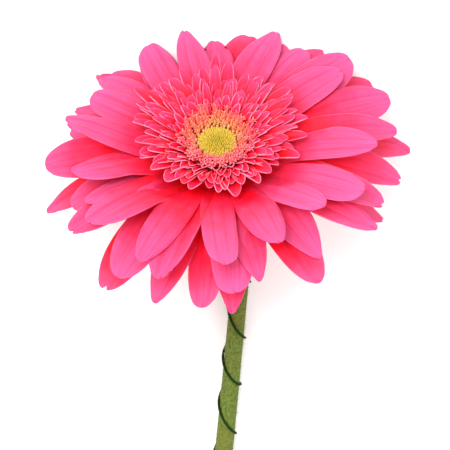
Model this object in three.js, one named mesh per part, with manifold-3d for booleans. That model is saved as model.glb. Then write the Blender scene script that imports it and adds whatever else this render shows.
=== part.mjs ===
// A cut gerbera lying on a flat surface. Its stem lies along -Y and its head is at +Y, propped on its rear petals,
// which bend flat where they meet the surface, with its face turned up. Millimetres, +Z up, the surface at z = 0.
//
// The head is one spiral of florets on a receptacle: long ray florets at the rim, short narrow trans florets inside
// them, tubular disc florets, and closed buds in the middle. Under it sit the green bracts, and a florist's wire is
// wound round the stem.

import * as THREE from "three";
import Module from "manifold-3d";

const wasm = await Module();
wasm.setup();

// ---- Driving dimensions, in millimetres and degrees ----

const HEAD_CENTRE = new THREE.Vector3(-3.63, 102.88, 21.3); // where the rays leave the receptacle, on its axis
const FACE_TILT = 39.5; // how far the face leans from straight up, towards +Y
const GOLDEN_ANGLE = 137.5077; // turn from each floret to the next
const LONG_SIDE = -62; // where round the head the rays are longest
const FIRST_AZIMUTH = 229.4; // where round the head the spiral starts, from +X
const SEED = 205; // starts every small irregularity

const BLADE = 0.7; // thickness of a petal or bract
const GAP = 0.3; // clearance between neighbouring pieces

const RAY_COUNT = 54;
const RAY_CORE = { radius: 11.8, bottom: -0.9, top: 2.3 };
const TRANS_COUNT = 80;
const TRANS_CORE = { radius: 10.2, bottom: 2.9, top: 4.6 };
const DISC_CORE = { radius: 8.9, bottom: 4.9, top: 6.5 };
const DISC_FLORET_COUNT = 52;
const EYE = { radius: 5.8, bottom: 6.8, height: 1.9 };
const EYE_BUDS = 34;

const CUP_BASE = -14; // lowest point of the receptacle, on the head's own axis
const CUP_PROFILE = [ // radius and height of the receptacle's outside, from the stem up to the rim
  [2.7, CUP_BASE],
  [4.4, -12.9],
  [7.4, -10.2],
  [9.7, -6.8],
  [11.0, -3.4],
  [11.3, -1.2],
];
const BRACT_COUNT = 30;

const NECK_LENGTH = 36; // how far from the head the stem bends
const NECK_RADIUS = 2.6;
const CUT_RADIUS = 3.0;
const CUT_END = new THREE.Vector3(-10.08, -142.52, 2.8); // centre of the stem's cut end
const WIRE_RADIUS = 0.4;
const COIL_PITCH = 15.4;
const COIL_TURN = 4; // where round the stem the coil starts
const COIL_START = 3; // along the stem from the head
const COIL_STOP_SHORT = 38; // bare length left at the cut end

// ---- Small irregularities ----

const radians = THREE.MathUtils.degToRad;
const mix = THREE.MathUtils.lerp;

// A repeatable number from -1 to 1 for one trait of one floret.
function scatter(index, trait) {
  const x = Math.sin(SEED + index * 12.9898 + trait * 78.233) * 43758.5453;
  return 2 * (x - Math.floor(x)) - 1;
}

// ---- The head's frame, and the surface that it rests on ----

const headFrame = new THREE.Matrix4()
  .makeRotationX(-radians(FACE_TILT))
  .setPosition(HEAD_CENTRE);
const faceNormal = new THREE.Vector3(0, 0, 1).transformDirection(headFrame);

// Where a petal meets the surface it bends flat along it.
function pressOnSurface(point, halfThickness) {
  point.z = Math.max(point.z, halfThickness);
  return point;
}

// ---- Solids ----

function toManifold(geometry) {
  const { position } = geometry.attributes;
  return new wasm.Manifold(
    new wasm.Mesh({
      numProp: 3,
      vertProperties: new Float32Array(position.array),
      triVerts: new Uint32Array(geometry.index.array),
    }),
  );
}

function toGeometry(manifold) {
  const mesh = manifold.getMesh();
  return new THREE.BufferGeometry()
    .setAttribute("position", new THREE.BufferAttribute(mesh.vertProperties, 3))
    .setIndex(new THREE.BufferAttribute(mesh.triVerts, 1));
}

// Joins overlapping pieces into one body, without any hollow that they seal off between them.
function fuse(geometries) {
  const whole = geometries.map(toManifold).reduce((joined, piece) => joined.add(piece));
  return whole.decompose().reduce((largest, body) => (body.volume() > largest.volume() ? body : largest));
}

// Keeps position alone and joins the vertices that meet, so that the surface is closed.
function weld(geometry) {
  const { position } = geometry.attributes;
  const index = geometry.index ? geometry.index.array : position.array.map((_, i) => i).slice(0, position.count);
  const seen = new Map();
  const kept = [];
  const renumbered = Array.from({ length: position.count }, (_, i) => {
    const corner = [position.getX(i), position.getY(i), position.getZ(i)].map((x) => Math.round(x * 1e4) / 1e4);
    const key = corner.join();
    if (!seen.has(key)) {
      seen.set(key, kept.length / 3);
      kept.push(...corner);
    }
    return seen.get(key);
  });
  const triangles = [];
  for (let i = 0; i < index.length; i += 3) {
    const [a, b, c] = [index[i], index[i + 1], index[i + 2]].map((corner) => renumbered[corner]);
    if (a !== b && b !== c && c !== a) triangles.push(a, b, c);
  }
  return new THREE.BufferGeometry()
    .setAttribute("position", new THREE.Float32BufferAttribute(kept, 3))
    .setIndex(triangles);
}

// A round piece on the head's axis, from [radius, height] points that start and end on the axis.
function turned(profile, sides) {
  const points = profile.map(([radius, height]) => new THREE.Vector2(radius, height));
  const lathe = new THREE.LatheGeometry(points, sides);
  lathe.rotateX(Math.PI / 2);
  return weld(lathe).applyMatrix4(headFrame);
}

const plug = ({ radius, bottom, top }) => [[0, bottom], [radius, bottom], [radius, top], [0, top]];

// ---- Blades: every petal and bract ----

// How wide a blade is at a point along it, as a share of its greatest width.
function widthShare(blade, along) {
  const swell = mix(blade.waist, 1, Math.sin((Math.PI / 2) * Math.min(along / blade.widest, 1)));
  const beyond = Math.max(along - blade.widest, 0) / (1 - blade.widest);
  return Math.max(swell * Math.pow(1 - Math.pow(beyond, blade.tipPower), blade.tipEase), blade.tipWidth);
}

// A point of a blade's middle surface. across runs from -1 to 1, and along from 0 at the root to 1 at the tip, where
// the edges stop short of the midrib. The midrib is an arc that leaves the head at the angle `rise` and ends at the
// angle `fall`.
function bladePoint(blade, across, distance) {
  const along = distance - blade.tipRound * across * across * Math.pow(distance, 3);
  const rise = radians(blade.rise);
  const turn = radians(blade.fall) - rise;
  const angle = rise + turn * along;
  const half = (blade.width / 2) * widthShare(blade, along);
  const ripple = blade.ripple * Math.sin(blade.waves * along + blade.phase + across);
  const lift = (blade.channel * (1 - along) + blade.tipCurl * along) * across * across * half
    + ripple * across * along;
  const roll = radians(blade.roll + blade.twist * along);
  const sideways = across * half * Math.cos(roll) - lift * Math.sin(roll);
  const outwards = across * half * Math.sin(roll) + lift * Math.cos(roll);
  const radius = blade.rootRadius + (blade.length / turn) * (Math.sin(angle) - Math.sin(rise))
    - outwards * Math.sin(angle);
  const height = blade.rootHeight - (blade.length / turn) * (Math.cos(angle) - Math.cos(rise))
    + outwards * Math.cos(angle);
  const side = sideways + blade.sway * along * along;
  const reach = Math.hypot(radius, side);
  const [floor, ceiling] = blade.between(reach);
  return new THREE.Vector3(radius, side, Math.min(Math.max(height, floor), ceiling))
    .applyAxisAngle(new THREE.Vector3(0, 0, 1), radians(blade.azimuth))
    .applyMatrix4(headFrame);
}

// The blade as a closed solid: its middle surface, thickened to both sides, and split alike on both faces.
function bladeGeometry(blade, columns, rows) {
  const middle = new THREE.PlaneGeometry(2, 1, columns, rows);
  const { position } = middle.attributes;
  for (let i = 0; i < position.count; i++) {
    const along = Math.sin((Math.PI / 2) * (position.getY(i) + 0.5));
    const point = pressOnSurface(bladePoint(blade, position.getX(i), along), BLADE / 2);
    position.setXYZ(i, point.x, point.y, point.z);
  }
  middle.computeVertexNormals();
  const { normal } = middle.attributes;
  const corners = [];
  for (const side of [1, -1]) {
    for (let i = 0; i < position.count; i++) {
      const out = (side * BLADE) / 2;
      const height = position.getZ(i) + out * normal.getZ(i);
      const pressed = position.getZ(i) < 0.51 * BLADE;
      corners.push(position.getX(i) + out * normal.getX(i));
      corners.push(position.getY(i) + out * normal.getY(i));
      corners.push(pressed && height < BLADE / 2 ? 0 : Math.max(height, 0));
    }
  }
  const front = Array.from(middle.index.array);
  const back = [];
  for (let i = 0; i < front.length; i += 3) back.push(front[i + 2], front[i + 1], front[i]);
  const triangles = [...front, ...back.map((corner) => corner + position.count)];
  const rim = [];
  for (let i = 0; i < columns; i++) rim.push(i);
  for (let i = 0; i < rows; i++) rim.push(columns + i * (columns + 1));
  for (let i = 0; i < columns; i++) rim.push((rows + 1) * (columns + 1) - 1 - i);
  for (let i = 0; i < rows; i++) rim.push((rows - i) * (columns + 1));
  rim.forEach((corner, i) => {
    const next = rim[(i + 1) % rim.length];
    triangles.push(corner, next, next + position.count);
    triangles.push(corner, next + position.count, corner + position.count);
  });
  return new THREE.BufferGeometry()
    .setAttribute("position", new THREE.Float32BufferAttribute(corners, 3))
    .setIndex(triangles);
}

// The cone that parts the rays, below it, from the trans florets, above it.
const partingHeight = (reach) => RAY_CORE.top + GAP / 2 + Math.max(reach - RAY_CORE.radius, 0) * 0.5;

// ---- Ray florets: the long petals, lowest and longest first ----

function ray(index) {
  const inward = index / (RAY_COUNT - 1);
  const jitter = (trait) => scatter(index, trait);
  const azimuth = FIRST_AZIMUTH + index * GOLDEN_ANGLE + 6.1 * jitter(13);
  const pointed = jitter(273);
  return {
    azimuth,
    rootRadius: mix(9.2, 8.6, inward),
    rootHeight: mix(0.3, 0.9, inward),
    length: mix(46.9, 40.1, inward) * (1 + 0.076 * jitter(2)) * (1 + 0.128 * Math.cos(radians(azimuth - LONG_SIDE))),
    width: mix(12.6, 12, inward) * (1 + 0.16 * jitter(123)),
    waist: 0.45,
    widest: 0.58,
    tipPower: 3 - 0.8 * pointed,
    tipEase: 0.62 + 0.24 * pointed,
    tipWidth: 0.15,
    tipRound: 0.055,
    rise: mix(16, 34, inward) + 3.1 * jitter(294),
    fall: mix(-29.7, 6.8, inward) + 13 * jitter(47),
    channel: 0.22,
    tipCurl: 0.12 * jitter(6) - 0.1,
    ripple: 0.5,
    waves: 5 + jitter(7),
    phase: 3 * jitter(8),
    roll: 9.9 * jitter(130) + 5,
    twist: 14 * jitter(46),
    sway: 3.8 * jitter(153),
    between: (reach) => [
      reach < 17 ? -0.2 : -100,
      partingHeight(reach) - GAP / 2 - BLADE / 2 - 0.3,
    ],
  };
}

function rayFlorets() {
  const petals = Array.from({ length: RAY_COUNT }, (_, i) => bladeGeometry(ray(i), 2, 4));
  return fuse([turned(plug(RAY_CORE), 24), ...petals]);
}

// ---- Trans florets: short narrow petals that stand up round the disc ----

function transFloret(index) {
  const inward = index / (TRANS_COUNT - 1);
  const jitter = (trait) => scatter(200 + index, trait);
  const azimuth = FIRST_AZIMUTH + (RAY_COUNT + index) * GOLDEN_ANGLE + 2.5 * jitter(1);
  const turn = radians(azimuth);
  const oval = (1 + 0.08 * Math.cos(2 * turn)) * (0.93 + 0.11 * Math.sin(turn));
  return {
    azimuth,
    rootRadius: mix(9.2, 9.6, inward),
    rootHeight: mix(3.5, 4.0, inward),
    length: mix(21.5, 10.5, Math.pow(inward, 0.8)) * (1 + 0.1 * jitter(2)) * oval,
    width: mix(4.5, 2.7, inward) * (1 + 0.12 * jitter(3)),
    waist: 0.55,
    widest: 0.6,
    tipPower: 2.8,
    tipEase: 0.6,
    tipWidth: 0.28,
    tipRound: 0.07,
    rise: mix(44, 88, inward) + 4 * jitter(4),
    fall: mix(10, 26, inward) + 6 * jitter(5),
    channel: 0.3,
    tipCurl: 0.2,
    ripple: 0.1,
    waves: 4,
    phase: 3 * jitter(8),
    roll: 8 * jitter(9),
    twist: 12 * jitter(10),
    sway: 1.1 * jitter(11),
    between: (reach) => [partingHeight(reach) + GAP / 2 + BLADE / 2 + 0.1, 100],
  };
}

function transFlorets() {
  const petals = Array.from({ length: TRANS_COUNT }, (_, i) => bladeGeometry(transFloret(i), 1, i < TRANS_COUNT / 2 ? 3 : 2));
  return fuse([turned(plug(TRANS_CORE), 24), ...petals]);
}

// ---- Disc florets: small open tubes in a ring round the eye ----

function discFloret(index) {
  const outward = Math.sqrt((index + 0.5) / DISC_FLORET_COUNT);
  const radius = mix(EYE.radius + 0.85, DISC_CORE.radius - 0.45, outward);
  const height = mix(2.0, 5.2, outward) * (1 + 0.12 * scatter(400 + index, 1));
  const lean = radians(mix(4, 17, outward) + 4 * scatter(400 + index, 2));
  const tube = new THREE.CylinderGeometry(0.7, 0.34, height + 0.6, 5, 1);
  tube.rotateX(Math.PI / 2);
  tube.translate(0, 0, (height + 0.6) / 2 - 0.6);
  tube.rotateY(lean);
  tube.translate(radius, 0, DISC_CORE.top);
  tube.rotateZ(radians(index * GOLDEN_ANGLE));
  return weld(tube).applyMatrix4(headFrame);
}

function discFlorets() {
  const florets = Array.from({ length: DISC_FLORET_COUNT }, (_, i) => discFloret(i));
  return fuse([turned(plug(DISC_CORE), 24), ...florets]);
}

// ---- The eye: closed buds, as bumps raised on a low dome ----

function eyeBuds() {
  const { radius, bottom, height } = EYE;
  const dome = Array.from({ length: 8 }, (_, i) => {
    const out = 1 - i / 7;
    return [radius * out, bottom + height * (1 - 0.42 * out * out) - 0.35 * Math.exp(-out * out * 12)];
  });
  const points = [[0, bottom], [radius, bottom], ...dome].map(([r, z]) => new THREE.Vector2(r, z));
  const lathe = new THREE.LatheGeometry(points, 30);
  lathe.rotateX(Math.PI / 2);
  const { position } = lathe.attributes;
  const buds = Array.from({ length: EYE_BUDS }, (_, i) => {
    const out = (radius - 0.5) * Math.sqrt((i + 0.5) / EYE_BUDS);
    const turn = radians(i * GOLDEN_ANGLE);
    return new THREE.Vector2(out * Math.cos(turn), out * Math.sin(turn));
  });
  for (let i = 0; i < position.count; i++) {
    if (position.getZ(i) < bottom + 0.5) continue;
    const here = new THREE.Vector2(position.getX(i), position.getY(i));
    const nearest = Math.min(...buds.map((bud) => bud.distanceTo(here)));
    position.setZ(i, position.getZ(i) + 0.35 * Math.max(0, 1 - nearest / 0.8));
  }
  return toManifold(weld(lathe).applyMatrix4(headFrame));
}

// ---- Involucre: the green cup of the receptacle with its rows of bracts ----

function bract(index) {
  const inward = index / (BRACT_COUNT - 1);
  const jitter = (trait) => scatter(600 + index, trait);
  return {
    azimuth: index * GOLDEN_ANGLE + 3 * jitter(1),
    rootRadius: mix(4.2, 7.6, inward),
    rootHeight: mix(-11.9, -8.7, inward),
    length: mix(11, 13, inward) * (1 + 0.07 * jitter(2)),
    width: mix(2.5, 3.0, inward) * (1 + 0.1 * jitter(3)),
    waist: 0.8,
    widest: 0.35,
    tipPower: 1.4,
    tipEase: 0.9,
    tipWidth: 0.16,
    tipRound: 0,
    rise: mix(40, 52, inward),
    fall: mix(72, 50, inward) + 5 * jitter(5),
    channel: -0.25,
    tipCurl: 0,
    ripple: 0,
    waves: 0,
    phase: 0,
    roll: 0,
    twist: 0,
    sway: 0.5 * jitter(11),
    between: () => [-100, RAY_CORE.bottom - GAP - BLADE / 2 - 0.1],
  };
}

function involucre() {
  const rim = CUP_PROFILE[CUP_PROFILE.length - 1][1];
  const cup = turned([[0, CUP_BASE], ...CUP_PROFILE, [0, rim]], 20);
  const bracts = Array.from({ length: BRACT_COUNT }, (_, i) => bladeGeometry(bract(i), 1, 3));
  return fuse([cup, ...bracts]);
}

// ---- Stem: leaves the cup along the head's axis, bends over at the neck and runs to the cut end ----

const stemTop = HEAD_CENTRE.clone().addScaledVector(faceNormal, CUP_BASE - GAP);
const neckEnd = HEAD_CENTRE.clone().add(new THREE.Vector3(7.4, -34, 7.7 - HEAD_CENTRE.z));
const shaftSlope = new THREE.Vector3(-0.088, -1, 0.0);
const stemLine = new THREE.CurvePath();
stemLine.add(new THREE.CubicBezierCurve3(
  stemTop,
  stemTop.clone().addScaledVector(faceNormal, -7),
  neckEnd.clone().addScaledVector(shaftSlope, -11),
  neckEnd,
));
stemLine.add(new THREE.CubicBezierCurve3(
  neckEnd,
  neckEnd.clone().addScaledVector(shaftSlope, 70),
  CUT_END.clone().add(new THREE.Vector3(-1.5, 70, 3.2)),
  CUT_END,
));
const stemLength = stemLine.getLength();

// The point beside the stem's centre line at a distance along it, out by `out` at the angle `turn`, where 0 is
// towards +X and 90 degrees is up.
function besideStem(distance, out, turn) {
  const share = THREE.MathUtils.clamp(distance / stemLength, 0, 1);
  const along = stemLine.getTangent(share);
  const right = new THREE.Vector3(1, 0, 0).addScaledVector(along, -along.x).normalize();
  const up = new THREE.Vector3().crossVectors(right, along).negate();
  if (up.z < 0) up.negate();
  return stemLine.getPoint(share)
    .addScaledVector(right, out * Math.cos(turn))
    .addScaledVector(up, out * Math.sin(turn));
}

const stemRadius = (distance) => mix(NECK_RADIUS, CUT_RADIUS, distance / stemLength)
  + 0.5 * Math.exp(-distance / 4);

function stem() {
  const sides = 12;
  const neckRings = 12;
  const tube = new THREE.CylinderGeometry(1, 1, 1, sides, 2 * neckRings);
  const { position } = tube.attributes;
  for (let i = 0; i < position.count; i++) {
    const down = 1 - 2 * position.getY(i); // 0 at the head, 1 where the neck ends, 2 at the cut end
    const distance = NECK_LENGTH * Math.min(down, 1) + (stemLength - NECK_LENGTH) * Math.max(down - 1, 0);
    const out = Math.hypot(position.getX(i), position.getZ(i)) * stemRadius(distance);
    const turn = Math.atan2(position.getZ(i), position.getX(i)) + Math.PI / sides;
    const point = besideStem(distance, out, turn);
    position.setXYZ(i, point.x, point.y, Math.max(point.z, 0));
  }
  return toManifold(weld(tube));
}

// ---- Florist's wire, wound down the stem from under the head ----

// Its turns slope more across the front of the stem than behind it.
class Coil extends THREE.Curve {
  getPoint(share) {
    const wound = mix(COIL_START, stemLength - COIL_STOP_SHORT, share);
    const turn = radians(COIL_TURN) - (2 * Math.PI * wound) / COIL_PITCH;
    const distance = wound + COIL_PITCH * (0.17 * Math.sin(turn) + 0.05 * Math.cos(turn));
    return besideStem(distance, stemRadius(distance) + GAP + 0.2 + WIRE_RADIUS, turn);
  }
}

function wire() {
  const turns = (stemLength - COIL_STOP_SHORT - COIL_START) / COIL_PITCH;
  const section = new THREE.Shape(
    Array.from({ length: 4 }, (_, i) => {
      const turn = (2 * Math.PI * i) / 4;
      return new THREE.Vector2(WIRE_RADIUS * Math.cos(turn), WIRE_RADIUS * Math.sin(turn));
    }),
  );
  const tube = new THREE.ExtrudeGeometry(section, { steps: Math.round(turns * 10), extrudePath: new Coil() });
  return toManifold(weld(tube));
}

// ---- The whole flower ----

const finishes = {
  petal: new THREE.MeshStandardMaterial({ color: 0xfc5c98, roughness: 0.55, metalness: 0 }),
  trans: new THREE.MeshStandardMaterial({ color: 0xf24a80, roughness: 0.55, metalness: 0 }),
  disc: new THREE.MeshStandardMaterial({ color: 0xf0705a, roughness: 0.6, metalness: 0 }),
  eye: new THREE.MeshStandardMaterial({ color: 0xd0b440, roughness: 0.65, metalness: 0 }),
  green: new THREE.MeshStandardMaterial({ color: 0x77873a, roughness: 0.6, metalness: 0 }),
  wire: new THREE.MeshStandardMaterial({ color: 0x1f4a22, roughness: 0.4, metalness: 0 }),
};

const gerbera = new THREE.Group();

function place(name, manifold, finish) {
  const mesh = new THREE.Mesh(toGeometry(manifold), finish);
  mesh.name = name;
  gerbera.add(mesh);
}

place("ray_florets", rayFlorets(), finishes.petal);
place("trans_florets", transFlorets(), finishes.trans);
place("disc_florets", discFlorets(), finishes.disc);
place("eye_buds", eyeBuds(), finishes.eye);
place("involucre", involucre(), finishes.green);
place("stem", stem(), finishes.green);
place("florists_wire", wire(), finishes.wire);

export default gerbera;
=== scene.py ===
"""A cut gerbera lying on a flat surface, its stem along -Y and its face turned up. Metres, +Z up.

The head is made in a frame of its own, in millimetres, with its axis along +Z, and is then tilted and
put in place.
"""

import bisect
import math

import bmesh
import bpy
from mathutils import Matrix, Vector


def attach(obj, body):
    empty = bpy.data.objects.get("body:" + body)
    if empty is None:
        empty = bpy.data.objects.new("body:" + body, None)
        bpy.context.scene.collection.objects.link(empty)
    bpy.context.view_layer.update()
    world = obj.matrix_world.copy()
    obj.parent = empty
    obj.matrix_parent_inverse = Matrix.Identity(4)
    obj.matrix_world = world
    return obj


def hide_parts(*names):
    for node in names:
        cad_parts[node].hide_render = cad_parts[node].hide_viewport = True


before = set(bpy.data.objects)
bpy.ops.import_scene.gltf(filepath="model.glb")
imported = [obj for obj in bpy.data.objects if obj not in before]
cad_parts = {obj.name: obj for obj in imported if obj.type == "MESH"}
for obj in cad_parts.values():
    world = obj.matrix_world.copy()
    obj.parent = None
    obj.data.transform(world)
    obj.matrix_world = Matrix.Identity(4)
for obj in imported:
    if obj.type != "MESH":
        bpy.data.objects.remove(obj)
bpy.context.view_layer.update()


# ---- Ray florets ----
# The long petals at the rim of the head: soft thin blades with a rounded tip and two shallow grooves,
# hot pink with a red base. The red is partly their own colour and partly painted shade under the ruff and
# the petals above, and it reaches further out on the lower petals as painted shade. They grow from the
# receptacle in one spiral, the lowest layer longest and drooping, and the rear ones bend flat where they
# meet the surface.

HEAD_PLACE = (-0.00363, 0.10288, 0.0213)
HEAD_TILT = 39.5
MILLIMETRE = 0.001
GOLDEN_ANGLE = 137.5077
SEED = 205
CORE_SIDES = 48

RAY_COUNT = 54
RAY_THICKNESS = 0.00034
FIRST_AZIMUTH = 229.4
LONG_SIDE = -62
NOTCH_PLACE, NOTCH_WIDTH = 0.1, 0.14
GROOVE_PLACE, GROOVE_WIDTH, GROOVE_DEPTH = 0.36, 0.11, 0.48
FOLD_WIDTH, FOLD_DEPTH = 0.16, 0.5
EDGE_DROP = 0.25

# Near the axis the rays stay above the cup of bracts and under the ruff. Past the reach of the shelf
# between them, both the rays' limit and the ruff's rise with its slope.
SHELF_REACH, SHELF_SLOPE = 11.8, 0.5
CUP_REACH = 17
RAY_LOWEST, RAY_HIGHEST = -0.2, 1.3
FREE = 100

head_frame = (
    Matrix.Translation(HEAD_PLACE)
    @ Matrix.Rotation(math.radians(-HEAD_TILT), 4, "X")
    @ Matrix.Scale(MILLIMETRE, 4)
)


def scatter(index, trait):
    """A number from -1 to 1 for one trait of one floret, as good as random and the same in each run."""
    x = math.sin(SEED + index * 12.9898 + trait * 78.233) * 43758.5453
    return 2 * (x - math.floor(x)) - 1


def mix(start, end, share):
    return start + (end - start) * share


def width_share(blade, along):
    """How wide a blade is at a point along it, as a share of its greatest width."""
    swell = mix(blade["waist"], 1, math.sin(math.pi / 2 * min(along / blade["widest"], 1)))
    beyond = max(along - blade["widest"], 0) / (1 - blade["widest"])
    return max(swell * (1 - beyond ** blade["tip_power"]) ** blade["tip_ease"], blade["tip_width"])


def blade_point(blade, across, distance):
    """A point of a blade's middle surface, in the head's frame.

    across runs from -1 to 1, and distance from 0 at the root to 1 at the tip. The midrib is an arc that
    leaves the head at the angle rise and ends at the angle fall.
    """
    notch = blade["notch"] * math.exp(-(((across - NOTCH_PLACE) / NOTCH_WIDTH) ** 2))
    cut_back = blade["tip_round"] * abs(across) ** 2.5 + notch * distance**9
    along = distance - cut_back * distance**3
    rise = math.radians(blade["rise"])
    turn = math.radians(blade["fall"]) - rise
    angle = rise + turn * along
    half = blade["width"] / 2 * width_share(blade, distance - blade["tip_round"] * distance**3)
    ripple = blade["ripple"] * math.sin(blade["waves"] * along + blade["phase"] + across)
    lift = (blade["channel"] * (1 - along) + blade["tip_curl"] * along) * across * across * half
    lift += ripple * across * along + blade["relief"](across, along)
    roll = math.radians(blade["roll"] + blade["twist"] * along)
    sideways = across * half * math.cos(roll) - lift * math.sin(roll)
    outwards = across * half * math.sin(roll) + lift * math.cos(roll)
    arc = blade["length"] / turn
    radius = blade["root_radius"] + arc * (math.sin(angle) - math.sin(rise)) - outwards * math.sin(angle)
    height = blade["root_height"] - arc * (math.cos(angle) - math.cos(rise)) + outwards * math.cos(angle)
    side = sideways + blade["sway"] * along * along
    lowest, highest = blade["between"](math.hypot(radius, side))
    point = Vector((radius, side, min(max(height, lowest), highest)))
    return Matrix.Rotation(math.radians(blade["azimuth"]), 4, "Z") @ point


def new_sheets():
    sheets = bmesh.new()
    sheets.loops.layers.uv.new("UVMap")
    return sheets


def add_blade(bm, blade, columns, rows, clearance):
    """Adds one blade as an open sheet that keeps clear of the surface, with its upper face outwards."""
    tone = bm.verts.layers.float.get("tone") or bm.verts.layers.float.new("tone")
    shading_layer = bm.verts.layers.float.get("shading_layer") or bm.verts.layers.float.new("shading_layer")
    made = bmesh.ops.create_grid(bm, x_segments=columns, y_segments=rows, size=1, calc_uvs=True)["verts"]
    for vert in made:
        distance = math.sin(math.pi / 2 * (vert.co.y + 1) / 2)
        vert.co = head_frame @ blade_point(blade, vert.co.x, distance)
        vert.co.z = max(vert.co.z, clearance)
        vert[tone] = blade["tone"]
        vert[shading_layer] = blade["shading_layer"]
    faces = list({face for vert in made for face in vert.link_faces})
    bmesh.ops.reverse_faces(bm, faces=faces)


def add_core(bm, radius, height, depth, taper=1):
    """Adds the round core that a ring of florets grows from, its middle at a height in the head."""
    core = bmesh.ops.create_cone(
        bm, cap_ends=True, segments=CORE_SIDES, radius1=radius, radius2=radius * taper, depth=depth,
        matrix=Matrix.Translation((0, 0, height)), calc_uvs=True,
    )["verts"]
    bmesh.ops.transform(bm, matrix=head_frame, verts=core)
    return core


def finish_piece(bm, name, slot, *nodes):
    """Makes the piece's object, which rides on the flower and stands for its plainer solids."""
    mesh = bpy.data.meshes.new(name)
    bm.to_mesh(mesh)
    bm.free()
    mesh.shade_smooth()
    piece = bpy.data.objects.new(name, mesh)
    bpy.context.scene.collection.objects.link(piece)
    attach(piece, "root")
    if nodes:
        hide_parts(*nodes)
    return piece


def thicken(piece, thickness, underside=False):
    """Thickens a sheet to both sides alike. The underside and cut edge may have the second material."""
    solidify = piece.modifiers.new("thickness", "SOLIDIFY")
    solidify.thickness = thickness
    solidify.offset = 0
    solidify.use_even_offset = False
    solidify.material_offset = int(underside)
    solidify.material_offset_rim = int(underside)


def ray_relief(across, along):
    """Two grooves along the petal, a fold that starts at its tip, and a soft edge that turns down."""
    spread = GROOVE_PLACE * (1 - 0.45 * along**3)
    groove = math.exp(-(((abs(across) - spread) / GROOVE_WIDTH) ** 2))
    groove_reach = math.sin(math.pi * min(along * 0.94 + 0.04, 1)) ** 0.6
    fold = math.exp(-((across / FOLD_WIDTH) ** 2)) * along**5
    return -GROOVE_DEPTH * groove * groove_reach - FOLD_DEPTH * fold - EDGE_DROP * abs(across) ** 7


def above_shelf(reach):
    return max(reach - SHELF_REACH, 0) * SHELF_SLOPE


def ray_between(reach):
    return (RAY_LOWEST if reach < CUP_REACH else -FREE), RAY_HIGHEST + above_shelf(reach)


def ray_floret(index):
    """One petal's traits. Most change inwards, from the lowest petal's to the topmost one's."""
    inward = index / (RAY_COUNT - 1)
    azimuth = FIRST_AZIMUTH + index * GOLDEN_ANGLE + 6.1 * scatter(index, 13)
    lopsided = 1 + 0.128 * math.cos(math.radians(azimuth - LONG_SIDE))
    pointed = scatter(index, 273)
    return {
        "azimuth": azimuth,
        "root_radius": mix(9.2, 8.6, inward),
        "root_height": mix(0.3, 0.9, inward),
        "length": mix(46.9, 40.1, inward) * (1 + 0.076 * scatter(index, 2)) * lopsided,
        "width": mix(12.6, 12, inward) * (1 + 0.16 * scatter(index, 123)),
        "waist": 0.45,
        "widest": 0.58,
        "tip_power": 3 - 0.8 * pointed,
        "tip_ease": 0.62 + 0.24 * pointed,
        "tip_width": 0.15,
        "tip_round": 0.055,
        "notch": 0.035 * max(scatter(index, 61), 0),
        "rise": mix(16, 34, inward) + 3.1 * scatter(index, 294),
        "fall": mix(-29.7, 6.8, inward) + 13 * scatter(index, 47),
        "channel": 0.22 + 0.16 * scatter(index, 411),
        "tip_curl": 0.3 * scatter(index, 722) - 0.1,
        "ripple": 0.5 + 0.2 * scatter(index, 1226),
        "waves": 5 + scatter(index, 531),
        "phase": 3 * scatter(index, 733),
        "roll": 9.9 * scatter(index, 130) + 5,
        "twist": 14 * scatter(index, 46),
        "sway": 3.8 * scatter(index, 153),
        "between": ray_between,
        "relief": ray_relief,
        "tone": 0.5 + 0.5 * scatter(index, 21),
        # Painted shade: the lower petals are coloured redder.
        "shading_layer": inward,
    }


def new_material(name):
    material = bpy.data.materials.new(name)
    material.use_nodes = True
    return material, material.node_tree, material.node_tree.nodes["Principled BSDF"]


def add_node(tree, kind, sources=(), **settings):
    """Adds a shader node, sets what it is given and links each (input, source) pair."""
    node = tree.nodes.new(kind)
    for key, value in settings.items():
        setattr(node, key, value)
    for socket, source in dict(sources).items():
        if hasattr(source, "links"):
            tree.links.new(source, node.inputs[socket])
        else:
            node.inputs[socket].default_value = source
    return node


def object_place(tree):
    return add_node(tree, "ShaderNodeTexCoord").outputs["Object"]


def attribute(tree, name):
    return add_node(tree, "ShaderNodeAttribute", attribute_name=name).outputs["Fac"]


def noise(tree, place, scale, detail=2.0):
    sources = {"Vector": place, "Scale": scale, "Detail": detail}
    return add_node(tree, "ShaderNodeTexNoise", sources).outputs[0]


def stretched(tree, place, scale):
    return add_node(tree, "ShaderNodeMapping", {"Vector": place, "Scale": scale}).outputs[0]


def math_node(tree, operation, first, second=0.0, third=0.0):
    sources = {0: first, 1: second, 2: third}
    return add_node(tree, "ShaderNodeMath", sources, operation=operation).outputs[0]


def times(tree, first, second):
    return math_node(tree, "MULTIPLY", first, second)


def swayed(tree, value, sway, share):
    """A value moved up or down by a share of another one that runs from 0 to 1."""
    return math_node(tree, "ADD", value, times(tree, math_node(tree, "SUBTRACT", sway, 0.5), share))


def ramp(tree, source, *stops):
    """Colours or greys at places from 0 to 1 along a value."""
    node = add_node(tree, "ShaderNodeValToRGB", {"Fac": source})
    elements = node.color_ramp.elements
    while len(elements) < len(stops):
        elements.new(0.5)
    for element, (place, colour) in zip(elements, stops):
        element.position = place
        element.color = (colour,) * 3 + (1,) if isinstance(colour, (int, float)) else (*colour, 1)
    return node.outputs["Color"]


def blend_colours(tree, share, base, over):
    node = add_node(tree, "ShaderNodeMix", data_type="RGBA")
    colour_sockets = [socket for socket in node.inputs if socket.type == "RGBA"]
    for socket, source in zip([node.inputs[0], *colour_sockets], (share, base, over)):
        if hasattr(source, "links"):
            tree.links.new(source, socket)
        else:
            socket.default_value = (*source, 1)
    return next(socket for socket in node.outputs if socket.type == "RGBA")


def raise_bumps(tree, skin, height, strength, distance):
    sources = {"Height": height, "Strength": strength, "Distance": distance}
    tree.links.new(add_node(tree, "ShaderNodeBump", sources).outputs[0], skin.inputs["Normal"])


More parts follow.
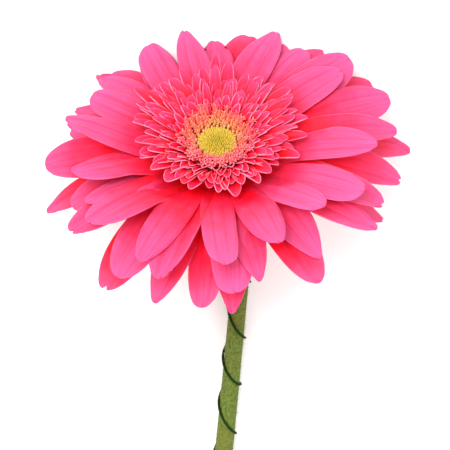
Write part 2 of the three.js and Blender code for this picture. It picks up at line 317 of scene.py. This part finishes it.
def set_skin(skin, **constants):
    """Sets what is the same all over a surface on the shader's own sockets."""
    for socket, value in constants.items():
        skin.inputs[socket.replace("_", " ")].default_value = value


def petal_material(name, stops, vein_and_crease_shade_colour, edge_colour, edge_start, rim_start, bump):
    """A petal's skin: coloured along its length, with painted shade in its grooves, its fold and its lower
    layers, and another colour at its edge.
    """
    material, tree, skin = new_material(name)
    place = add_node(tree, "ShaderNodeUVMap", uv_map="UVMap").outputs[0]
    split = add_node(tree, "ShaderNodeSeparateXYZ", {0: place})
    across = math_node(tree, "ABSOLUTE", math_node(tree, "MULTIPLY_ADD", split.outputs[0], 2.0, -1.0))
    along = split.outputs[1]
    tone = attribute(tree, "tone")
    here = object_place(tree)
    mottle = noise(tree, here, 160.0, 3.0)
    shifted = swayed(tree, along, mottle, 0.3)
    shifted = swayed(tree, shifted, tone, 0.16)
    # Painted shade: lower petals, and the ruff on its side towards the stem, shift towards the red of the
    # root.
    shifted = swayed(tree, shifted, attribute(tree, "shading_layer"), 0.4)
    colour = ramp(tree, shifted, *stops)

    long_place = stretched(tree, place, (34.0, 1.3, 1.0))
    vein_place = add_node(tree, "ShaderNodeVectorMath", {0: long_place, 1: tone}, operation="ADD")
    veins = noise(tree, vein_place.outputs[0], 1.0, 4.0)
    vein_share = ramp(tree, veins, (0.38, 0.0), (0.62, 1.0))
    colour = blend_colours(tree, times(tree, vein_share, 0.32), colour, vein_and_crease_shade_colour)
    # Painted shade in the grooves and in the fold at the tip, in the colour that the veins also take.
    groove = ramp(tree, across, (0.24, 0.0), (0.36, 1.0), (0.50, 0.0))
    groove = times(tree, groove, ramp(tree, along, (0.0, 1.0), (0.62, 0.55), (0.9, 0.0)))
    colour = blend_colours(tree, times(tree, groove, 0.5), colour, vein_and_crease_shade_colour)
    fold = ramp(tree, across, (0.0, 1.0), (0.12, 0.0))
    fold = times(tree, fold, ramp(tree, along, (0.8, 0.0), (1.0, 1.0)))
    colour = blend_colours(tree, times(tree, fold, 0.8), colour, vein_and_crease_shade_colour)

    # The edge colour: on upper sides a paler margin that is partly painted highlight where the rims catch
    # light, on the ray underside and its cut rim painted shade.
    tip = math_node(tree, "MULTIPLY_ADD", along, 2.0, -1.0)
    edge = ramp(tree, math_node(tree, "MAXIMUM", across, tip), (edge_start, 0.0), (1.0, 1.0))
    rim = times(tree, edge, ramp(tree, along, (rim_start, 0.0), (rim_start + 0.4, 1.0)))
    rim = times(tree, rim, ramp(tree, mottle, (0.38, 0.35), (0.58, 1.0)))
    colour = blend_colours(tree, rim, colour, edge_colour)
    tree.links.new(colour, skin.inputs["Base Color"])

    fine = noise(tree, here, 2600.0)
    raise_bumps(tree, skin, math_node(tree, "ADD", vein_share, times(tree, fine, 0.5)), 0.5, bump)
    tree.links.new(ramp(tree, mottle, (0.3, 0.44), (0.7, 0.6)), skin.inputs["Roughness"])
    set_skin(
        skin, Specular_IOR_Level=0.18, Subsurface_Weight=0.2, Subsurface_Radius=(1.0, 0.2, 0.3),
        Subsurface_Scale=0.0009,
    )
    return material


ray_skin = petal_material(
    "ray_petal",
    stops=[
        # Towards the root the red is partly the petal's own and partly painted shade under the ruff and
        # the petals above.
        (0.0, (0.97, 0.001, 0.004)),
        (0.27, (0.93, 0.003, 0.015)),
        (0.43, (0.80, 0.024, 0.088)),
        (0.62, (0.70, 0.068, 0.205)),
        (1.0, (0.68, 0.098, 0.290)),
    ],
    vein_and_crease_shade_colour=(0.64, 0.006, 0.040),
    edge_colour=(0.74, 0.17, 0.36),
    edge_start=0.94,
    rim_start=0.2,
    bump=0.00006,
)
ray_underside = petal_material(
    "ray_petal_underside",
    stops=[(0.0, (0.50, 0.07, 0.05)), (0.3, (0.70, 0.055, 0.10)), (1.0, (0.72, 0.10, 0.23))],
    vein_and_crease_shade_colour=(0.60, 0.030, 0.075),
    # Painted shade: a dark edge on the underside, which the cut rim takes too.
    edge_colour=(0.36, 0.012, 0.050),
    edge_start=0.95,
    rim_start=0.1,
    bump=0.00008,
)

blades = new_sheets()
for index in range(RAY_COUNT):
    add_blade(blades, ray_floret(index), columns=20, rows=40, clearance=RAY_THICKNESS)
add_core(blades, radius=10.6, height=0.5, depth=2.6)
rays = finish_piece(blades, "ray_petals", "petal", "ray_florets")
rays.data.materials.append(ray_skin)
rays.data.materials.append(ray_underside)
thicken(rays, RAY_THICKNESS, underside=True)


# ---- Trans florets ----
# The ruff of short narrow petals inside the rays, pink with pale edges and red towards the root. The red
# is partly their own colour and partly painted shade, also stronger on the side towards the stem, and the
# pale edges are partly painted highlight. They are steeper and shorter towards the disc, arch outwards at
# their tips, and grow from the same spiral.

TRANS_COUNT = 190
TRANS_THICKNESS = 0.00028
TRANS_LOWEST = 3.05


def trans_relief(across, along):
    """One shallow groove along the middle."""
    return -0.16 * math.exp(-((across / 0.3) ** 2))


def trans_between(reach):
    return TRANS_LOWEST + above_shelf(reach), FREE


def trans_floret(index):
    """One petal's traits. The outermost petals are broader on the side towards the stem."""
    inward = index / (TRANS_COUNT - 1)
    place = 200 + index
    azimuth = FIRST_AZIMUTH + (RAY_COUNT + index) * GOLDEN_ANGLE + 2.5 * scatter(place, 1)
    turn = math.radians(azimuth)
    oval = (1 + 0.08 * math.cos(2 * turn)) * (0.93 + 0.11 * math.sin(turn))
    broad = 1 + math.exp(-index / 9) * (0.05 - 0.38 * math.sin(turn))
    return {
        "azimuth": azimuth,
        "root_radius": mix(9.2, 9.6, inward),
        "root_height": mix(3.5, 4.0, inward),
        "length": mix(21.5, 8.5, inward**0.85) * (1 + 0.12 * scatter(place, 2)) * oval,
        "width": mix(4.6, 2.3, inward**0.6) * (1 + 0.16 * scatter(place, 3)) * broad,
        "waist": 0.5,
        "widest": 0.6,
        "tip_power": 2.8 + 0.6 * scatter(place, 12),
        "tip_ease": 0.6,
        "tip_width": 0.16,
        "tip_round": 0.08,
        "notch": 0,
        "rise": mix(44, 88, inward) + 4 * scatter(place, 4),
        "fall": mix(10, 26, inward) + 34 * inward**6 + 8 * scatter(place, 5),
        "channel": 0.45,
        "tip_curl": 0.35 + 0.2 * scatter(place, 6),
        "ripple": 0.1,
        "waves": 4,
        "phase": 3 * scatter(place, 8),
        "roll": 8 * scatter(place, 9),
        "twist": 14 * scatter(place, 10),
        "sway": 1.1 * scatter(place, 11),
        "between": trans_between,
        "relief": trans_relief,
        "tone": 0.5 + 0.5 * scatter(place, 21),
        # Painted shade: lower on the side towards the stem, so that side of the ruff is redder.
        "shading_layer": 0.36 + 0.27 * math.sin(turn),
    }


trans_skin = petal_material(
    "trans_petal",
    stops=[
        # Towards the root the red is partly the petal's own and partly painted shade between the petals.
        (0.0, (0.93, 0.001, 0.003)),
        (0.38, (0.86, 0.002, 0.012)),
        (0.64, (0.71, 0.025, 0.100)),
        (1.0, (0.64, 0.062, 0.210)),
    ],
    vein_and_crease_shade_colour=(0.66, 0.002, 0.014),
    edge_colour=(0.80, 0.26, 0.40),
    edge_start=0.925,
    rim_start=0.3,
    bump=0.00004,
)
blades = new_sheets()
for index in range(TRANS_COUNT):
    add_blade(blades, trans_floret(index), columns=8, rows=16, clearance=TRANS_THICKNESS)
add_core(blades, radius=10.2, height=3.7, depth=1.6)
ruff = finish_piece(blades, "trans_petals", "trans_petal", "trans_florets")
ruff.data.materials.append(trans_skin)
thicken(ruff, TRANS_THICKNESS)


# ---- Disc florets ----
# The ring of small tubular florets round the eye, coral to orange. Each is a flared tube with lobes that
# curl back from its mouth and a style that stands out of it, and the innermost are still closed.

DISC_COUNT = 185
DISC_BASE = 6.2
DISC_THICKNESS = 0.00009
INNER, OUTER = 5.75, 9.3
CLOSED_SHARE = 0.2
LOBE_TURNS = (-52, 0, 52, 145, 215)
LONG_LOBES = 3

# Widths as shares of the mouth's, and how far the style and its knob stand out of an open mouth.
TUBE_FOOT = 0.55
STYLE_FOOT, STYLE_TIP = 0.4, 0.3
OPEN_KNOB, CLOSED_KNOB = 0.5, 1.15
STYLE_OUT, KNOB_OUT = 0.7, 0.75


def floret_material(name, tones, shade, pale):
    """A small floret's skin: shaded towards its root and pale at its tip, with a fine grain."""
    material, tree, skin = new_material(name)
    here = object_place(tree)
    reach = attribute(tree, "reach")
    grain = noise(tree, here, 900.0)
    colour = ramp(tree, attribute(tree, "tone"), *tones)
    tipped = ramp(tree, reach, (0.6, 0.0), (1.0, 1.0))
    colour = blend_colours(tree, times(tree, tipped, 0.4), colour, pale)
    rooted = ramp(tree, reach, (0.1, 1.0), (0.6, 0.0))
    colour = blend_colours(tree, times(tree, rooted, 0.4), colour, shade)
    colour = blend_colours(tree, times(tree, grain, 0.3), colour, shade)
    tree.links.new(colour, skin.inputs["Base Color"])
    raise_bumps(tree, skin, grain, 0.4, 0.00004)
    set_skin(
        skin, Roughness=0.5, Specular_IOR_Level=0.3, Subsurface_Weight=0.15,
        Subsurface_Radius=(1.0, 0.4, 0.2), Subsurface_Scale=0.0005,
    )
    return material


def add_lobes(bm, place, mouth, height, outward):
    """Adds the lobes round a tube's mouth: three long ones that face outwards, and two short ones."""
    lobes = []
    for lobe, turn in enumerate(LOBE_TURNS):
        made = bmesh.ops.create_grid(bm, x_segments=2, y_segments=3, size=1)["verts"]
        reach = mix(0.6, 1.35, outward) if lobe < LONG_LOBES else mix(0.5, 0.8, outward)
        for vert in made:
            out = (vert.co.y + 1) / 2
            half = mouth * 0.56 * (1 - 0.55 * out)
            curl = math.radians(20 + (120 + 40 * scatter(place, 6 + lobe)) * out)
            away = mouth + reach * out * math.sin(curl)
            up = height + reach * 0.5 * math.sin(math.pi * 0.8 * out)
            vert.co = Vector((away, half * vert.co.x, up))
            vert.co.rotate(Matrix.Rotation(math.radians(turn), 3, "Z"))
        lobes += made
    return lobes


tubes = bmesh.new()
tone_layer = tubes.verts.layers.float.new("tone")
reach_layer = tubes.verts.layers.float.new("reach")
for index in range(DISC_COUNT):
    place = 400 + index
    radius = math.sqrt(mix(INNER**2, OUTER**2, (index + 0.5) / DISC_COUNT))
    outward = (radius - INNER) / (OUTER - INNER)
    closed = outward < CLOSED_SHARE
    turn = math.radians(index * GOLDEN_ANGLE)
    height = mix(1.5, 5.2, outward) * (1 + 0.2 * scatter(place, 1))
    lean = math.radians(mix(2, 27, outward) + 12 * scatter(place, 2))
    mouth = mix(0.36, 0.52, outward)
    tube = bmesh.ops.create_cone(
        tubes, cap_ends=False, segments=10, radius1=mouth * TUBE_FOOT, radius2=mouth, depth=height,
        matrix=Matrix.Translation((0, 0, height / 2)),
    )["verts"]
    style = bmesh.ops.create_cone(
        tubes, cap_ends=True, segments=6, radius1=mouth * STYLE_FOOT, radius2=mouth * STYLE_TIP,
        depth=height * 0.5 + STYLE_OUT, matrix=Matrix.Translation((0, 0, height * 0.75 + STYLE_OUT / 2)),
    )["verts"]
    knob = bmesh.ops.create_icosphere(
        tubes, subdivisions=1, radius=mouth * (CLOSED_KNOB if closed else OPEN_KNOB),
        matrix=Matrix.Translation((0, 0, height + (0 if closed else KNOB_OUT))),
    )["verts"]
    lobes = [] if closed else add_lobes(tubes, place, mouth, height, outward)
    upward = math.sin(turn)
    tone = min(max(outward + 0.2 * scatter(place, 5) - 0.16 * upward, 0), 1)
    for verts, level in ((tube, None), (style, 0.75), (knob, 1.0), (lobes, 0.86 - 0.12 * upward)):
        for vert in verts:
            vert[tone_layer] = tone
            vert[reach_layer] = vert.co.z / height * 0.7 if level is None else level
    stand = (
        Matrix.Rotation(turn, 4, "Z")
        @ Matrix.Translation((radius, 0, DISC_BASE))
        @ Matrix.Rotation(lean, 4, "Y")
        @ Matrix.Rotation(math.radians(14 * scatter(place, 3)), 4, "X")
    )
    bmesh.ops.transform(tubes, matrix=head_frame @ stand, verts=tube + style + knob + lobes)
for vert in add_core(tubes, radius=8.9, height=5.7, depth=1.6):
    vert[tone_layer] = 1
disc = finish_piece(tubes, "disc_tubes", "disc", "disc_florets")
disc.data.materials.append(floret_material(
    "disc_coral",
    tones=[
        (0.0, (0.72, 0.46, 0.08)),
        (0.22, (0.86, 0.30, 0.08)),
        (0.55, (0.88, 0.14, 0.085)),
        (1.0, (0.84, 0.055, 0.13)),
    ],
    shade=(0.96, 0.085, 0.07),
    pale=(0.90, 0.48, 0.48),
))
thicken(disc, DISC_THICKNESS)


# ---- Eye ----
# The closed buds in the middle of the disc, green-yellow and set in spirals over a low dome, which
# dips a little at its centre.

BUD_COUNT = 230
EYE_RADIUS = 5.8
EYE_BASE, EYE_RISE, EYE_DIP = 6.8, 1.9, 0.35
BUD_INSET, BUD_SEAT = 0.3, 0.35
BUD_STRETCH, BUD_POINT = 1.5, 0.1


def dome_height(out):
    return EYE_BASE + EYE_RISE * (1 - 0.42 * out * out) - EYE_DIP * math.exp(-out * out * 12)


eye = bmesh.new()
tone_layer = eye.verts.layers.float.new("tone")
reach_layer = eye.verts.layers.float.new("reach")
add_core(eye, radius=EYE_RADIUS, height=7.3, depth=1.0, taper=0.96)
for index in range(BUD_COUNT):
    place = 700 + index
    out = math.sqrt((index + 0.5 + 0.9 * scatter(place, 3)) / BUD_COUNT) if index else 0
    turn = math.radians(index * GOLDEN_ANGLE + 2.5 * scatter(place, 4))
    size = mix(0.33, 0.43, out) * (1 + 0.16 * scatter(place, 1))
    bud = bmesh.ops.create_icosphere(eye, subdivisions=2, radius=size)["verts"]
    for vert in bud:
        vert[tone_layer] = min(max(0.35 + 0.65 * out + 0.12 * scatter(place, 2), 0), 1)
        vert[reach_layer] = 0.5 + 0.5 * vert.co.z / size
        at_top = vert.co.z > 0.8 * size
        vert.co.z = vert.co.z * BUD_STRETCH + (BUD_POINT if at_top else 0)
    radius = out * (EYE_RADIUS - BUD_INSET)
    height = dome_height(out) - BUD_SEAT
    seat = Matrix.Translation((radius * math.cos(turn), radius * math.sin(turn), height))
    lean = Matrix.Rotation(turn, 4, "Z") @ Matrix.Rotation(math.radians(22 * out), 4, "Y")
    bmesh.ops.transform(eye, matrix=head_frame @ seat @ lean, verts=bud)
buds = finish_piece(eye, "eye_bud_dome", "eye", "eye_buds")
buds.data.materials.append(floret_material(
    "eye_green_yellow",
    tones=[(0.0, (0.30, 0.26, 0.013)), (0.6, (0.47, 0.35, 0.022)), (1.0, (0.66, 0.44, 0.055))],
    shade=(0.25, 0.20, 0.010),
    pale=(0.66, 0.47, 0.065),
))


# ---- Involucre ----
# The green cup under the head, closely covered with rows of narrow pointed bracts, all grown in one
# with it. The lowest row has the shortest bracts.

BRACT_COUNT = 64
BRACT_THICKNESS = 0.0004
BRACT_HIGHEST = -1.65
CUP_PROFILE = [
    (0.0, -14.0), (2.7, -14.0), (4.4, -12.9), (7.4, -10.2), (9.7, -6.8), (11.0, -3.4), (11.3, -1.2),
    (0.0, -1.2),
]


def green_material(name, dark, light, warm, rib_scale):
    """A green skin: light ribs on dark, and warmer patches."""
    material, tree, skin = new_material(name)
    here = object_place(tree)
    patches = noise(tree, here, 90.0, 3.0)
    ribs = noise(tree, stretched(tree, here, rib_scale), 1.0, 4.0)
    colour = blend_colours(tree, ramp(tree, ribs, (0.35, 0.0), (0.65, 1.0)), dark, light)
    warmed = ramp(tree, patches, (0.5, 0.0), (0.72, 1.0))
    colour = blend_colours(tree, times(tree, warmed, 0.5), colour, warm)
    tree.links.new(colour, skin.inputs["Base Color"])
    raise_bumps(tree, skin, ribs, 0.5, 0.00008)
    tree.links.new(ramp(tree, patches, (0.3, 0.6), (0.7, 0.76)), skin.inputs["Roughness"])
    set_skin(
        skin, Specular_IOR_Level=0.2, Subsurface_Weight=0.12, Subsurface_Radius=(0.6, 1.0, 0.2),
        Subsurface_Scale=0.0008,
    )
    return material


def bract_relief(across, along):
    """A body that is thicker along its middle."""
    return 0.12 * (1 - across * across)


def bract_between(reach):
    return -FREE, BRACT_HIGHEST


def bract(index):
    inward = index / (BRACT_COUNT - 1)
    place = 600 + index
    plain = ("tip_round", "notch", "tip_curl", "ripple", "waves", "phase", "roll", "twist")
    return {
        **dict.fromkeys(plain, 0),
        "azimuth": index * GOLDEN_ANGLE + 3 * scatter(place, 1),
        "root_radius": mix(4.2, 7.6, inward),
        "root_height": mix(-11.9, -8.7, inward),
        "length": mix(11, 13, inward) * (1 + 0.07 * scatter(place, 2)),
        "width": mix(2.4, 2.9, inward) * (1 + 0.1 * scatter(place, 3)),
        "waist": 0.8,
        "widest": 0.35,
        "tip_power": 1.4,
        "tip_ease": 0.9,
        "tip_width": 0.05,
        "rise": mix(40, 52, inward),
        "fall": mix(72, 50, inward) + 5 * scatter(place, 5),
        "channel": -0.25,
        "sway": 0.5 * scatter(place, 11),
        "between": bract_between,
        "relief": bract_relief,
        "tone": 0.5 + 0.5 * scatter(place, 21),
        "shading_layer": 0.5,
    }


def add_ring(bm, radius, height):
    """Adds a ring of points round the axis. On the axis itself, one point stands for all of them."""
    if radius == 0:
        return [bm.verts.new((0, 0, height))] * CORE_SIDES
    turns = [math.tau * side / CORE_SIDES for side in range(CORE_SIDES)]
    return [bm.verts.new((radius * math.cos(turn), radius * math.sin(turn), height)) for turn in turns]


# The cup's faces are made one by one, since those of a spun profile come in another order in each run.
cup = new_sheets()
rings = [add_ring(cup, radius, height) for radius, height in CUP_PROFILE]
for lower, upper in zip(rings, rings[1:]):
    for side in range(CORE_SIDES):
        corners = (lower[side - 1], lower[side], upper[side], upper[side - 1])
        cup.faces.new(tuple(dict.fromkeys(corners)))
bmesh.ops.transform(cup, matrix=head_frame, verts=cup.verts)
for index in range(BRACT_COUNT):
    add_blade(cup, bract(index), columns=4, rows=12, clearance=BRACT_THICKNESS)
involucre = finish_piece(cup, "involucre_bracts", "green", "involucre")
involucre.data.materials.append(green_material(
    "bract_green",
    dark=(0.045, 0.075, 0.014),
    light=(0.10, 0.15, 0.03),
    warm=(0.16, 0.10, 0.03),
    rib_scale=(900, 250, 250),
))
thicken(involucre, BRACT_THICKNESS)


# ---- Stem ----
# The round bare stem: green, lightly ribbed and covered with short pale hairs, bent at the neck under
# the head and cut across at its end, where the soft pith has sunk in.

NECK_RADIUS, CUT_RADIUS = 0.0026, 0.0030
STEM_FLARE, FLARE_REACH = 0.0005, 0.004
STEM_SIDES, STEM_RINGS = 40, 260
NECK_STEPS, SHAFT_STEPS = 200, 600
CUP_DEPTH = 0.0143
TANGENT_STEP = 0.0004

# The wall is inset from the tube's rim and the pith from the wall, in shares of the tube's radius, and
# each is sunk in by a share of the stem's length.
WALL_INSET, WALL_SUNK = 0.22, 0.0022
PITH_INSET, PITH_SUNK = 0.5, 0.0035

HAIR_COUNT = 8000
HAIRS_AT_ONCE = 200
HAIR_LENGTH = 0.0005
HAIR_ROOT, HAIR_TIP = 0.00004, 0.00001
HAIRY_SHARE = 0.985
ROOT_DEPTH_SHARE = 0.985

# The neck bends from the cup down to the surface, and the shaft runs on from it to the cut end.
head_centre = head_frame.translation
face_normal = Vector((0, math.sin(math.radians(HEAD_TILT)), math.cos(math.radians(HEAD_TILT))))
stem_top = head_centre - face_normal * CUP_DEPTH
neck_end = head_centre + Vector((0.0074, -0.034, 0.0077 - head_centre.z))
shaft_slope = Vector((-0.088, -1, 0))
cut_end = Vector((-0.01008, -0.14252, 0.0028))


def bezier(points, share):
    first, second, third, last = points
    rest = 1 - share
    near_start = first * rest**3 + second * 3 * rest**2 * share
    return near_start + third * 3 * rest * share**2 + last * share**3


neck_curve = (stem_top, stem_top - face_normal * 0.007, neck_end - shaft_slope * 0.011, neck_end)
shaft_curve = (neck_end, neck_end + shaft_slope * 0.07, cut_end + Vector((-0.0015, 0.07, 0.0032)), cut_end)
centre_line = [bezier(neck_curve, step / NECK_STEPS) for step in range(NECK_STEPS)]
centre_line += [bezier(shaft_curve, step / SHAFT_STEPS) for step in range(SHAFT_STEPS + 1)]
distances = [0.0]
for before, after in zip(centre_line, centre_line[1:]):
    distances.append(distances[-1] + (after - before).length)
stem_length = distances[-1]


def centre_at(distance):
    """The point of the stem's centre line at a distance from the head."""
    distance = min(max(distance, 0), stem_length)
    after = min(bisect.bisect_right(distances, distance), len(distances) - 1)
    before = after - 1
    share = (distance - distances[before]) / (distances[after] - distances[before])
    return centre_line[before].lerp(centre_line[after], share)


def beside_stem(distance, out, turn):
    """The point beside the centre line, out from it at an angle: 0 is towards +X, 90 degrees is up."""
    along = (centre_at(distance + TANGENT_STEP) - centre_at(distance - TANGENT_STEP)).normalized()
    right = (Vector((1, 0, 0)) - along * along.x).normalized()
    up = along.cross(right)
    if up.z < 0:
        up.negate()
    return centre_at(distance) + right * (out * math.cos(turn)) + up * (out * math.sin(turn))


def stem_radius(distance):
    """The stem's radius at a distance from the head, where it flares a little into the cup."""
    flare = STEM_FLARE * math.exp(-distance / FLARE_REACH)
    return mix(NECK_RADIUS, CUT_RADIUS, distance / stem_length) + flare


def ribbed(distance, turn):
    """Nine faint ribs, and a slow and a quick swell along them, as a share of the stem's radius."""
    slow = 0.006 * math.sin(distance * 420 + 2 * turn)
    return 1 + 0.006 * math.sin(9 * turn) + slow + 0.004 * math.sin(distance * 1130)


def sink(face, depth):
    for vert in face.verts:
        vert.co.z += depth


stalk = bmesh.new()
bmesh.ops.create_cone(
    stalk, cap_ends=True, segments=STEM_SIDES, radius1=1, radius2=1, depth=1,
    matrix=Matrix.Translation((0, 0, 0.5)),
)
lengthwise = [edge for edge in stalk.edges if edge.verts[0].co.z != edge.verts[1].co.z]
bmesh.ops.subdivide_edges(stalk, edges=lengthwise, cuts=STEM_RINGS)
for cap in [face for face in stalk.faces if len(face.verts) == STEM_SIDES]:
    bmesh.ops.inset_individual(stalk, faces=[cap], thickness=WALL_INSET)
    if cap.calc_center_median().z < 0.5:
        sink(cap, WALL_SUNK)
        bmesh.ops.inset_individual(stalk, faces=[cap], thickness=PITH_INSET)
        sink(cap, PITH_SUNK)
        for face in {face for vert in cap.verts for face in vert.link_faces}:
            face.material_index = 1
for vert in stalk.verts:
    distance = stem_length * (1 - vert.co.z)
    turn = math.atan2(vert.co.y, vert.co.x)
    out = math.hypot(vert.co.x, vert.co.y)
    on_skin = out > 0.9
    radius = out * stem_radius(distance) * (ribbed(distance, turn) if on_skin else 1)
    point = beside_stem(distance, radius, turn)
    vert.co = (point.x, point.y, max(point.z, 0))
bmesh.ops.recalc_face_normals(stalk, faces=stalk.faces)
stem = finish_piece(stalk, "stem_stalk", "green", "stem")
stem.data.materials.append(green_material(
    "stem_green",
    dark=(0.056, 0.090, 0.007),
    light=(0.130, 0.172, 0.025),
    warm=(0.14, 0.13, 0.025),
    rib_scale=(1700, 1100, 1700),
))
stem.data.materials.append(green_material(
    "stem_pith",
    dark=(0.17, 0.23, 0.05),
    light=(0.36, 0.40, 0.15),
    warm=(0.30, 0.28, 0.10),
    rib_scale=(2600, 2600, 2600),
))


def add_hair(bm, index):
    """Adds one hair, unless its tip would reach the surface that the stem lies on."""
    place = 1000 + index
    distance = stem_length * (0.5 + 0.5 * scatter(place, 1)) * HAIRY_SHARE
    turn = math.pi * scatter(place, 2)
    length = HAIR_LENGTH * (1 + 0.5 * scatter(place, 3))
    further = distance + 0.0002 * scatter(place, 4)
    root = beside_stem(distance, stem_radius(distance) * ROOT_DEPTH_SHARE, turn)
    tip = beside_stem(further, stem_radius(distance) + length, turn + 0.05 * scatter(place, 5))
    if tip.z < 0.0001:
        return
    stand = (tip - root).to_track_quat("Z", "Y").to_matrix().to_4x4()
    bmesh.ops.create_cone(
        bm, cap_ends=False, segments=3, radius1=HAIR_ROOT, radius2=HAIR_TIP, depth=(tip - root).length,
        matrix=Matrix.Translation((root + tip) / 2) @ stand,
    )


# A mesh that already holds many hairs takes each further one slowly, so they are made in small tufts.
hairs = bmesh.new()
for first in range(0, HAIR_COUNT, HAIRS_AT_ONCE):
    tuft = bmesh.new()
    for index in range(first, first + HAIRS_AT_ONCE):
        add_hair(tuft, index)
    gathered = bpy.data.meshes.new("tuft")
    tuft.to_mesh(gathered)
    tuft.free()
    hairs.from_mesh(gathered)
    bpy.data.meshes.remove(gathered)
hair_coat = finish_piece(hairs, "stem_hairs", "green")
pale_hair, tree, skin = new_material("stem_hair_pale")
patches = noise(tree, object_place(tree), 400.0)
hair_colour = ramp(tree, patches, (0.35, (0.22, 0.28, 0.06)), (0.65, (0.42, 0.46, 0.20)))
tree.links.new(hair_colour, skin.inputs["Base Color"])
set_skin(skin, Roughness=0.6)
hair_coat.data.materials.append(pale_hair)


# ---- Florist's wire ----
# Thin dark green lacquered wire, wound down the stem by hand in an open coil from under the head. Its
# turns lean, and their spacing varies a little, as the hand leaves them.

WIRE_RADIUS = 0.0004
COIL_PITCH = 0.0154
COIL_TURN = math.radians(4)
COIL_START, COIL_STOP_SHORT = 0.003, 0.038
STEPS_PER_TURN = 40


def coil_point(distance):
    """A point of the wire: its spacing wanders, it doesn't lie equally snug, and its turns lean."""
    turn = COIL_TURN - math.tau * distance / COIL_PITCH
    turn += 0.4 * math.sin(distance * 157)
    snug = 0.00004 * math.sin(distance * 310 + turn)
    distance += COIL_PITCH * (0.17 * math.sin(turn) + 0.05 * math.cos(turn))
    return beside_stem(distance, stem_radius(distance) + WIRE_RADIUS + snug, turn)


line = bpy.data.curves.new("coil_line", "CURVE")
line.dimensions = "3D"
line.bevel_depth = WIRE_RADIUS
line.bevel_resolution = 3
line.use_fill_caps = True
coil_stop = stem_length - COIL_STOP_SHORT
steps = int((coil_stop - COIL_START) / COIL_PITCH * STEPS_PER_TURN)
spline = line.splines.new("POLY")
spline.points.add(steps)
for step in range(steps + 1):
    spline.points[step].co = (*coil_point(mix(COIL_START, coil_stop, step / steps)), 1)
coil = bpy.data.objects.new("coil_line", line)
bpy.context.scene.collection.objects.link(coil)
wound = bmesh.new()
wound.from_mesh(coil.to_mesh())
bpy.data.objects.remove(coil)
wire = finish_piece(wound, "wire_coil", "wire", "florists_wire")
lacquer, tree, skin = new_material("wire_lacquer")
wear = noise(tree, object_place(tree), 700.0, 3.0)
lacquer_colour = ramp(tree, wear, (0.4, (0.004, 0.018, 0.001)), (0.7, (0.009, 0.036, 0.003)))
tree.links.new(lacquer_colour, skin.inputs["Base Color"])
tree.links.new(ramp(tree, wear, (0.3, 0.42), (0.7, 0.58)), skin.inputs["Roughness"])
set_skin(skin, Specular_IOR_Level=0.08)
wire.data.materials.append(lacquer)


# ---- Floor, light and camera ----
# A plain pale sheet of paper under the flower, lit evenly from all round by a white studio with one
# large soft lamp behind the head to the left and a weaker one in front to the right, and seen from
# straight above.

FLOOR_HALF = 3
FLOOR_HEIGHT = -0.00005
STUDIO_LIGHT = 1.14
LAMP_TARGET = (0, 0.08, 0)
VIEW_PLACE = (-0.00119, 0.08245, 1.927)

floor_mesh = bmesh.new()
bmesh.ops.create_grid(floor_mesh, x_segments=1, y_segments=1, size=FLOOR_HALF)
plane = bpy.data.meshes.new("floor")
floor_mesh.to_mesh(plane)
floor_mesh.free()
floor = bpy.data.objects.new("floor", plane)
floor.location.z = FLOOR_HEIGHT
bpy.context.scene.collection.objects.link(floor)
paper, tree, skin = new_material("pale_floor")
patches = noise(tree, object_place(tree), 3.0)
tree.links.new(ramp(tree, patches, (0.3, 0.90), (0.7, 0.93)), skin.inputs["Base Color"])
set_skin(skin, Roughness=0.9, Specular_IOR_Level=0.1)
plane.materials.append(paper)

world = bpy.data.worlds.new("studio")
bpy.context.scene.world = world
world.use_nodes = True
background = world.node_tree.nodes["Background"]
background.inputs["Color"].default_value = (1, 1, 1, 1)
background.inputs["Strength"].default_value = STUDIO_LIGHT


def soft_light(name, energy, size, place):
    lamp = bpy.data.lights.new(name, "AREA")
    lamp.energy = energy
    lamp.size = size
    holder = bpy.data.objects.new(name, lamp)
    holder.location = place
    holder.rotation_euler = (Vector(LAMP_TARGET) - Vector(place)).to_track_quat("-Z", "Y").to_euler()
    bpy.context.scene.collection.objects.link(holder)


soft_light("key", energy=12, size=0.65, place=(-0.32, 0.4, 1.1))
soft_light("fill", energy=6, size=1.0, place=(0.3, -0.7, 0.8))

camera = bpy.data.cameras.new("camera")
camera.lens = 500
camera.sensor_width = 36
camera.clip_start, camera.clip_end = 0.05, 20
viewer = bpy.data.objects.new("camera", camera)
viewer.location = VIEW_PLACE
bpy.context.scene.collection.objects.link(viewer)
bpy.context.scene.camera = viewer
bpy.context.scene.view_settings.view_transform = "Standard"
